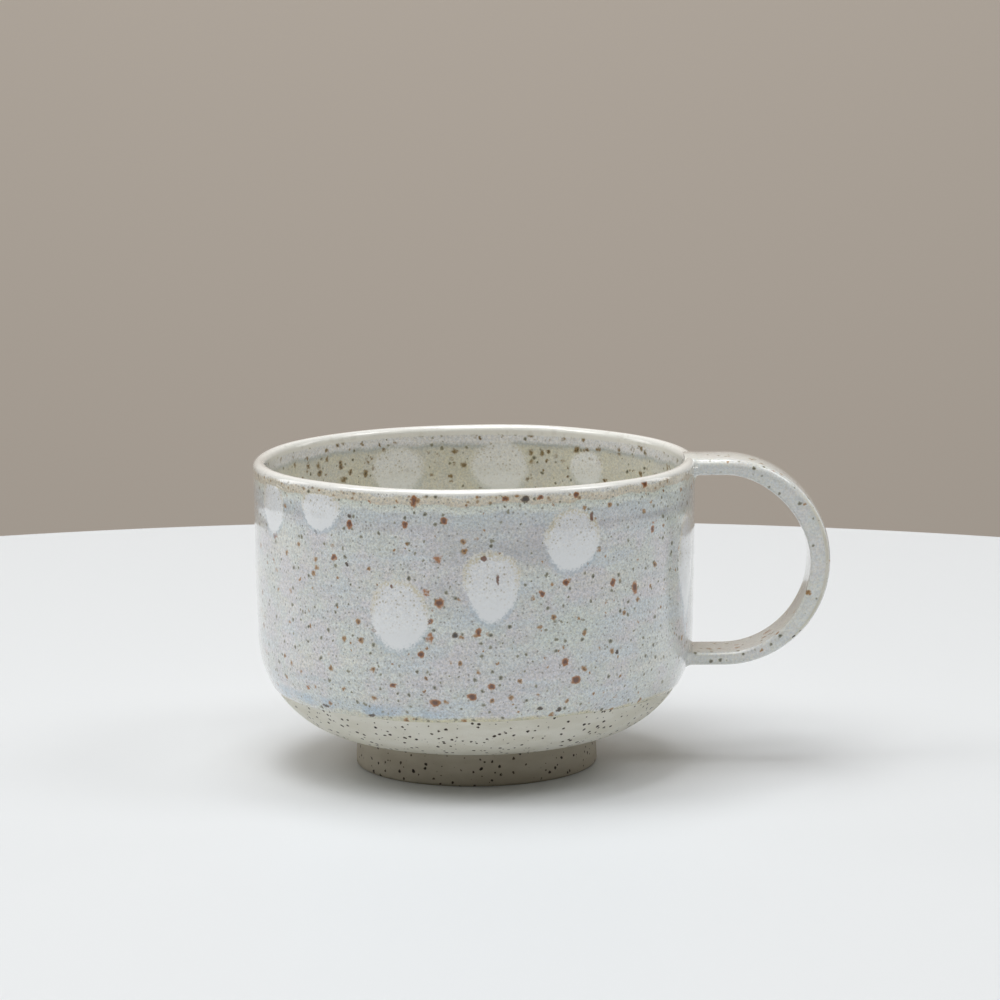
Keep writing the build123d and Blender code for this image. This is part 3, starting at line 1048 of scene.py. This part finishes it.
@dataclass(frozen=True)
class Handle:
    """The glazed strap, bent into a half round and luted to the wall (millimetres)."""

    form: ThrownForm
    root_x: float = 45.5
    bend_x: float = 54.0
    bend_radius: float = 21.5
    width_slack: float = 0.12
    outer_edge: float = 1.55
    inner_edge: float = 0.85
    top_thickness: float = 3.5
    side_thickness: float = 4.35
    low_thickness: float = 2.9
    shoulder: float = 0.55
    flare: float = 1.5
    flare_strength: float = 0.8
    top_flare: float = 0.15  # the share of the flare left on top, where the strap meets the lip
    crown: float = 0.22  # how much the outer face swells in the middle
    under_crown: float = 0.1
    flat_steps: int = 8
    corner_steps: int = 6
    even_start: float = 0.085
    even_steps: int = 150
    breath: float = 0.12  # how much the half width changes along the strap
    breath_turns: float = 1.3
    breath_start: float = 0.4

    def side_view(self, share: float, low: Vector, high: Vector) -> tuple[Vector, Vector, float]:
        """Where the strap's middle is, along its length.

        Args:
            share: how far along the strap, from nought at the lip to one at the belly.
            low: lowest corner of the coat's box.
            high: highest corner of the coat's box.

        Returns:
            The middle, the direction across the strap's thickness, and half that thickness.
        """
        straight = self.bend_x - self.root_x
        half_rise = (high.z - low.z) / 2
        middle_z = (high.z + low.z) / 2
        arc_length = math.pi * self.bend_radius
        run = share * (2 * straight + arc_length)
        if run < straight:
            outer = Vector((self.root_x + run, 0, high.z))
            inner = outer - Vector((0, 0, self.top_thickness))
        elif run > straight + arc_length:
            outer = Vector((self.bend_x - (run - straight - arc_length), 0, low.z))
            inner = outer + Vector((0, 0, self.low_thickness))
        else:
            angle = math.pi / 2 - (run - straight) / self.bend_radius
            along, up = math.cos(angle), math.sin(angle)
            reach = high.x - self.bend_x
            outer = Vector((self.bend_x + reach * along, 0, middle_z + half_rise * up))
            inner_half = (high.z - low.z - self.top_thickness - self.low_thickness) / 2
            inner_middle = middle_z + (self.low_thickness - self.top_thickness) / 2
            inner_x = self.bend_x + (reach - self.side_thickness) * along
            inner = Vector((inner_x, 0, inner_middle + inner_half * up))
            inner -= (outer - inner).normalized() * self.shoulder * max(math.sin(2 * angle), 0) ** 2
        across = outer - inner
        return (outer + inner) / 2, across.normalized(), across.length / 2

    def section(self, half_width: float, half_thickness: float) -> Outline:
        """The strap's cross-section, a slightly crowned bar with rounded edges.

        Args:
            half_width: half the width.
            half_thickness: half the thickness.

        Returns:
            Offsets along the width and the thickness, once round.
        """
        points = []
        for quarter in range(4):
            radius = min(self.outer_edge if quarter in (0, 1) else self.inner_edge, half_thickness * 0.9)
            corner_x = (half_width - radius) * (1 if quarter in (0, 3) else -1)
            corner_y = (half_thickness - radius) * (1 if quarter in (0, 1) else -1)
            for i in range(self.corner_steps + 1):
                angle = math.pi / 2 * (quarter + i / self.corner_steps)
                points.append((corner_x + radius * math.cos(angle), corner_y + radius * math.sin(angle)))
            if quarter in (0, 2):
                sign, crown = (1, self.crown) if quarter == 0 else (-1, self.under_crown)
                for i in range(1, self.flat_steps):
                    along = 1 - 2 * i / self.flat_steps
                    rise = crown * (1 - along * along)
                    points.append((sign * along * (half_width - radius), sign * (half_thickness + rise)))
            else:
                sign = -1 if quarter == 1 else 1
                points.append((sign * half_width, 0.0))
        return points

    def coat(self) -> bpy.types.Object:
        """The strap with its glaze, flared where it meets the wall."""
        low, high = box_of("handle_glaze")
        span, steps = 1 - 2 * self.even_start, self.even_steps
        even = [self.even_start + span * i / steps for i in range(steps + 1)]
        shares = [*ROOT_SHARES, *even, *(1 - s for s in reversed(ROOT_SHARES))]
        bm = bmesh.new()
        skin = self.form.glaze_out()
        previous: list[bmesh.types.BMVert] = []
        for share in shares:
            middle, across, half = self.side_view(share, low, high)
            breath = self.breath * math.sin(FULL_TURN * share * self.breath_turns + self.breath_start)
            loop = []
            for along, up in self.section(high.y - self.width_slack + breath, half):
                place = middle + Vector((0, along, 0)) + across * up
                gap = math.hypot(place.x, place.y) - skin.reach(place.z)
                closeness = min(max(1 - gap / self.flare, 0.0), 1.0)
                growth = self.flare * (1 - math.sqrt(1 - closeness**2)) * self.flare_strength
                outwards = place - middle
                if share < 0.5 and outwards.z > 0:
                    growth *= self.top_flare
                loop.append(bm.verts.new(place + outwards.normalized() * growth))
            if previous:
                for a, b, c, d in zip(previous, previous[1:] + previous[:1], loop[1:] + loop[:1], loop):
                    bm.faces.new((a, b, c, d))
            else:
                bm.faces.new(loop)
            previous = loop
        bm.faces.new(previous)
        return finish_mesh(bm, "strap_handle")


@dataclass(frozen=True)
class Dab:
    """One dab of white glaze."""

    angle: float  # degrees round the bowl, from the front towards the handle
    z: float
    width: float
    height: float
    egg: float = 0.12  # how much wider the top is than the bottom
    drip: float = 0.0  # how far the lower end is drawn out


@dataclass(frozen=True)
class Dabs:
    """White glaze dabbed on with a finger or brush over the base coat (millimetres)."""

    form: ThrownForm
    rings: int = 16
    spokes: int = 56
    proud: float = 0.16
    mark_stand: float = 0.17  # how far above the base coat the iron marks in a dab are centred
    spread: float = 1.3  # the thin skirt reaches past the dab's edge, where the finish softens it
    highest: float = 64.6  # dabs above this height are drawn down under the lip
    crowding: float = 0.2  # and only this share of their rise is left
    lobes: float = 0.12  # how uneven the outline is
    lobe_pace: float = 1.2
    lobe_step: float = 7.3  # keeps one dab's outline from being the next one's
    drip_pace: float = 3.0  # a larger number draws the lower end out more narrowly
    clearance: float = 0.012  # the thin skirt lies this far above the base coat
    sink: float = 0.08  # and its edge goes this far under it

    def stand(self, reach: float) -> float:
        """How far a dab stands above the base coat, from its middle at nought to its edge at one."""
        swell, edge = ease((0.82 - reach) / 0.5), ease((reach - 0.93) / 0.07)
        return self.proud * swell + self.clearance - self.sink * edge

    def lay(self, name: str, dabs: Sequence[Dab], face: Face) -> bpy.types.Object:
        """Lay a group of dabs on a face of the bowl.

        Args:
            name: the name of the new object.
            dabs: where each dab is, and its size.
            face: the face that they lie on.

        Returns:
            One object that holds them all.
        """
        whole = bpy.data.meshes.new(name)
        skin = self.form.glaze_in() if face is Face.LINER else self.form.glaze_out()
        bm = bmesh.new()
        for number, dab in enumerate(dabs):
            one = spin_outline([(i / self.rings, 0.0) for i in range(self.rings + 1)], self.spokes)
            reach_layer = one.verts.layers.float.new("dab_reach")
            rise_layer = one.verts.layers.float.new("dab_rise")
            for vert in one.verts:
                across, up = vert.co.x, vert.co.y
                reach = math.hypot(across, up)
                seed = Vector((across, up, self.lobe_step * number))
                lobes = noise.noise(seed * self.lobe_pace) * self.lobes
                width = dab.width / 2 * self.spread * (1 + dab.egg * up + lobes)
                drop = up - dab.drip * max(-up, 0) ** 3 * math.exp(-((across * self.drip_pace) ** 2))
                z = dab.z + drop * dab.height / 2 * self.spread * (1 + lobes)
                z = min(z, self.highest + (z - self.highest) * self.crowding)
                radius = skin.reach(z) + face.value * self.stand(reach)
                turn = math.radians(dab.angle) + across * width / skin.reach(z)
                vert.co = (radius * math.sin(turn), -radius * math.cos(turn), z)
                vert[reach_layer] = reach
                vert[rise_layer] = up
            bmesh.ops.recalc_face_normals(one, faces=one.faces)
            one.to_mesh(whole)
            one.free()
            bm.from_mesh(whole)
        bpy.data.meshes.remove(whole)
        self.form.throw(bm)
        return finish_mesh(bm, name)


@dataclass(frozen=True)
class Studio:
    """Pale round table, warm grey wall, window light and camera (metres)."""

    table_radius: float = 0.4
    table_centre: tuple[float, float] = (-0.015, -0.087)
    wall_distance: float = 1.9
    wall_size: float = 2.4
    air_strength: float = 0.12
    camera_place: tuple[float, float, float] = (0.00557, -0.85, 0.1971)
    aim: tuple[float, float, float] = (0.00557, 0.0, 0.05757)
    roll: float = -0.008
    lens: float = 142.76

    def plain(self, name: str, hex_code: str, roughness: float) -> bpy.types.Material:
        """A plain, nearly matt material for the set."""
        sheet = NodeSheet(name)
        shader = sheet.add("BsdfPrincipled", {"Base Color": linear(hex_code), "Roughness": roughness})
        sheet.add("OutputMaterial", {0: shader.outputs[0]})
        return sheet.material

    def set_up(self) -> None:
        """Make the table, the wall, the lights, the world and the camera."""
        bm = bmesh.new()
        bmesh.ops.create_circle(bm, cap_ends=True, segments=256, radius=self.table_radius)
        bmesh.ops.translate(bm, verts=bm.verts, vec=(*self.table_centre, 0))
        self.stage(bm, "table_top", self.plain("pale_table", "#e4e7ea", 0.45))
        bm = bmesh.new()
        bmesh.ops.create_grid(bm, x_segments=1, y_segments=1, size=self.wall_size)
        bmesh.ops.rotate(bm, verts=bm.verts, matrix=Matrix.Rotation(math.pi / 2, 3, "X"))
        bmesh.ops.translate(bm, verts=bm.verts, vec=(0, self.wall_distance, 0))
        self.stage(bm, "back_wall", self.plain("warm_grey_wall", "#fbeee0", 0.9))
        self.light("skylight", (-0.2, 0.12, 2.0), (1.3, 1.1), 24.5, (0.99, 1.0, 1.0))
        self.light("front_window", (-0.15, -0.95, 2.0), (1.3, 0.9), 11.5, (1.0, 0.995, 0.98))
        self.light("left_window", (-1.25, -0.15, 1.6), (0.7, 0.7), 6.6, (1.0, 0.995, 0.98))
        self.light("right_window", (1.25, -0.15, 1.6), (0.7, 0.7), 6.0, (1.0, 1.0, 1.0))
        self.light("left_edge", (-1.1, 0.45, 0.35), (0.35, 0.8), 1.6, (1.0, 1.0, 1.0))
        self.light("right_edge", (1.1, 0.5, 0.35), (0.25, 0.8), 1.2, (1.0, 1.0, 1.0))
        world = bpy.data.worlds.new("studio_air")
        bpy.context.scene.world = world
        world.use_nodes = True
        background = world.node_tree.nodes["Background"]
        background.inputs[0].default_value = linear("#e6e4e0")
        background.inputs[1].default_value = self.air_strength
        self.camera()
        bpy.context.scene.view_settings.view_transform = "Standard"

    def stage(self, bm: bmesh.types.BMesh, name: str, material: bpy.types.Material) -> None:
        """Store a mesh of the set."""
        made = store(bm, name)
        made.data.materials.append(material)

    def light(
        self,
        name: str,
        place: tuple[float, float, float],
        size: tuple[float, float],
        watts: float,
        colour: tuple[float, float, float],
    ) -> None:
        """Hang a soft rectangular light that faces the mug."""
        lamp = bpy.data.lights.new(name, "AREA")
        lamp.shape = "RECTANGLE"
        lamp.size, lamp.size_y = size
        lamp.energy = watts
        lamp.color = colour
        made = bpy.data.objects.new(name, lamp)
        made.location = place
        made.rotation_euler = (Vector(self.aim) - Vector(place)).to_track_quat("-Z", "Y").to_euler()
        made.visible_camera = False
        bpy.context.scene.collection.objects.link(made)

    def camera(self) -> None:
        """Put the camera where the mug is seen a little from above, handle to the right."""
        made = bpy.data.objects.new("camera", bpy.data.cameras.new("camera"))
        made.data.lens = self.lens
        made.data.sensor_width = 36.0
        made.location = self.camera_place
        direction = Vector(self.aim) - Vector(self.camera_place)
        turn = direction.to_track_quat("-Z", "Y").to_matrix() @ Matrix.Rotation(self.roll, 3, "Z")
        made.rotation_euler = turn.to_euler()
        bpy.context.scene.collection.objects.link(made)
        bpy.context.scene.camera = made


OUTER_DABS = (
    Dab(-63, 60.2, 10.0, 12.0, 0.15),
    Dab(-42, 61.9, 10.8, 9.4, 0.15),
    Dab(-19, 41.0, 12.6, 15.0, 0.06),
    Dab(4.5, 47.0, 11.6, 14.4, 0.46, 0.1),
    Dab(25.5, 56.2, 12.4, 13.4, 0.16),
    Dab(72, 47.5, 10.5, 19.0, 0.1, 1.0),
    Dab(112, 52.0, 11.5, 13.5),
    Dab(134, 40.0, 12.0, 14.5),
    Dab(155, 56.5, 11.0, 12.5),
    Dab(178, 45.0, 12.5, 15.0),
    Dab(201, 57.5, 11.5, 11.0),
    Dab(222, 42.5, 12.0, 14.0),
    Dab(246, 50.5, 11.0, 13.0),
    Dab(268, 39.5, 11.5, 14.0),
)
LINER_DABS = (
    Dab(-157, 57.5, 13.0, 12.0),
    Dab(173, 57.8, 14.0, 12.5),
    Dab(146, 58.5, 9.0, 8.5),
    Dab(118, 53.0, 11.0, 12.0),
    Dab(78, 56.5, 11.5, 11.5),
    Dab(38, 50.0, 11.0, 12.5),
    Dab(5, 56.0, 12.0, 11.0),
    Dab(-34, 52.0, 11.5, 12.5),
    Dab(-72, 57.0, 11.0, 11.0),
    Dab(-113, 51.5, 12.0, 12.5),
)


def place_piece(piece: bpy.types.Object, material: bpy.types.Material, slot: str, *nodes: str) -> None:
    """Dress a piece and let it stand for its nodes.

    Args:
        piece: the finished piece.
        material: its finish.
        slot: the material slot that it would fill; not used.
        nodes: the CAD nodes that it stands for.
    """
    piece.data.materials.append(material)
    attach(piece, BODY)
    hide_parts(*nodes)
    log.info("%s: %d faces", piece.name, len(piece.data.polygons))


def main() -> None:
    """Build the studio, then the mug from the clay outwards."""
    logging.basicConfig(level=logging.INFO, format="%(name)s: %(message)s")
    Studio().set_up()
    form = ThrownForm.from_frame()
    clay = BareStoneware().material("turned_bare_stoneware")
    # Painted shade: the foot's clay is darker and browner than the same clay above it, standing in for the
    # shade under the bowl's overhang.
    shade_darkened_foot_clay = BareStoneware("#c3baa7", "#b8ae9a").material("shade_darkened_bare_stoneware")
    glaze = SpeckledGlaze()
    wall = form.glaze_out().reach
    dabbed_wall = form.glaze_out().grown(Dabs.mark_stand).reach
    bowl, coats, dabs = Bowl(form), Coats(form), Dabs(form)
    speckled = glaze.on_wall("dipped_speckled_glaze", wall)
    lined = glaze.in_liner("poured_liner_glaze")
    rim = glaze.over_lip("wiped_pale_rim_glaze", wall)
    strap = glaze.on_handle("dipped_handle_glaze")
    white = glaze.on_dab("dabbed_white_glaze", dabbed_wall, Face.OUTSIDE)
    white_inside = glaze.on_dab("dabbed_white_liner_glaze", wall, Face.LINER)
    place_piece(bowl.clay(), clay, "bare_clay", "cup_body")
    place_piece(bowl.foot(), shade_darkened_foot_clay, "bare_clay", "foot_ring")
    place_piece(coats.outside(), speckled, "speckled_glaze", "outer_glaze")
    place_piece(coats.lip(), rim, "pale_rim_glaze", "rim_glaze")
    place_piece(coats.liner(), lined, "liner_glaze", "liner_glaze")
    place_piece(Handle(form).coat(), strap, "speckled_glaze", "handle_glaze")
    outside_dabs = dabs.lay("outside_dabs", OUTER_DABS, Face.OUTSIDE)
    place_piece(outside_dabs, white, "white_glaze", "outer_white_spots")
    liner_dabs = dabs.lay("liner_dabs", LINER_DABS, Face.LINER)
    place_piece(liner_dabs, white_inside, "white_glaze", "liner_white_spots")
    for node in ("handle_strap", "upper_joint_slip", "lower_joint_slip"):
        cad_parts[node].data.materials.clear()
        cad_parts[node].data.materials.append(clay)


if __name__ == "__main__":
    main()
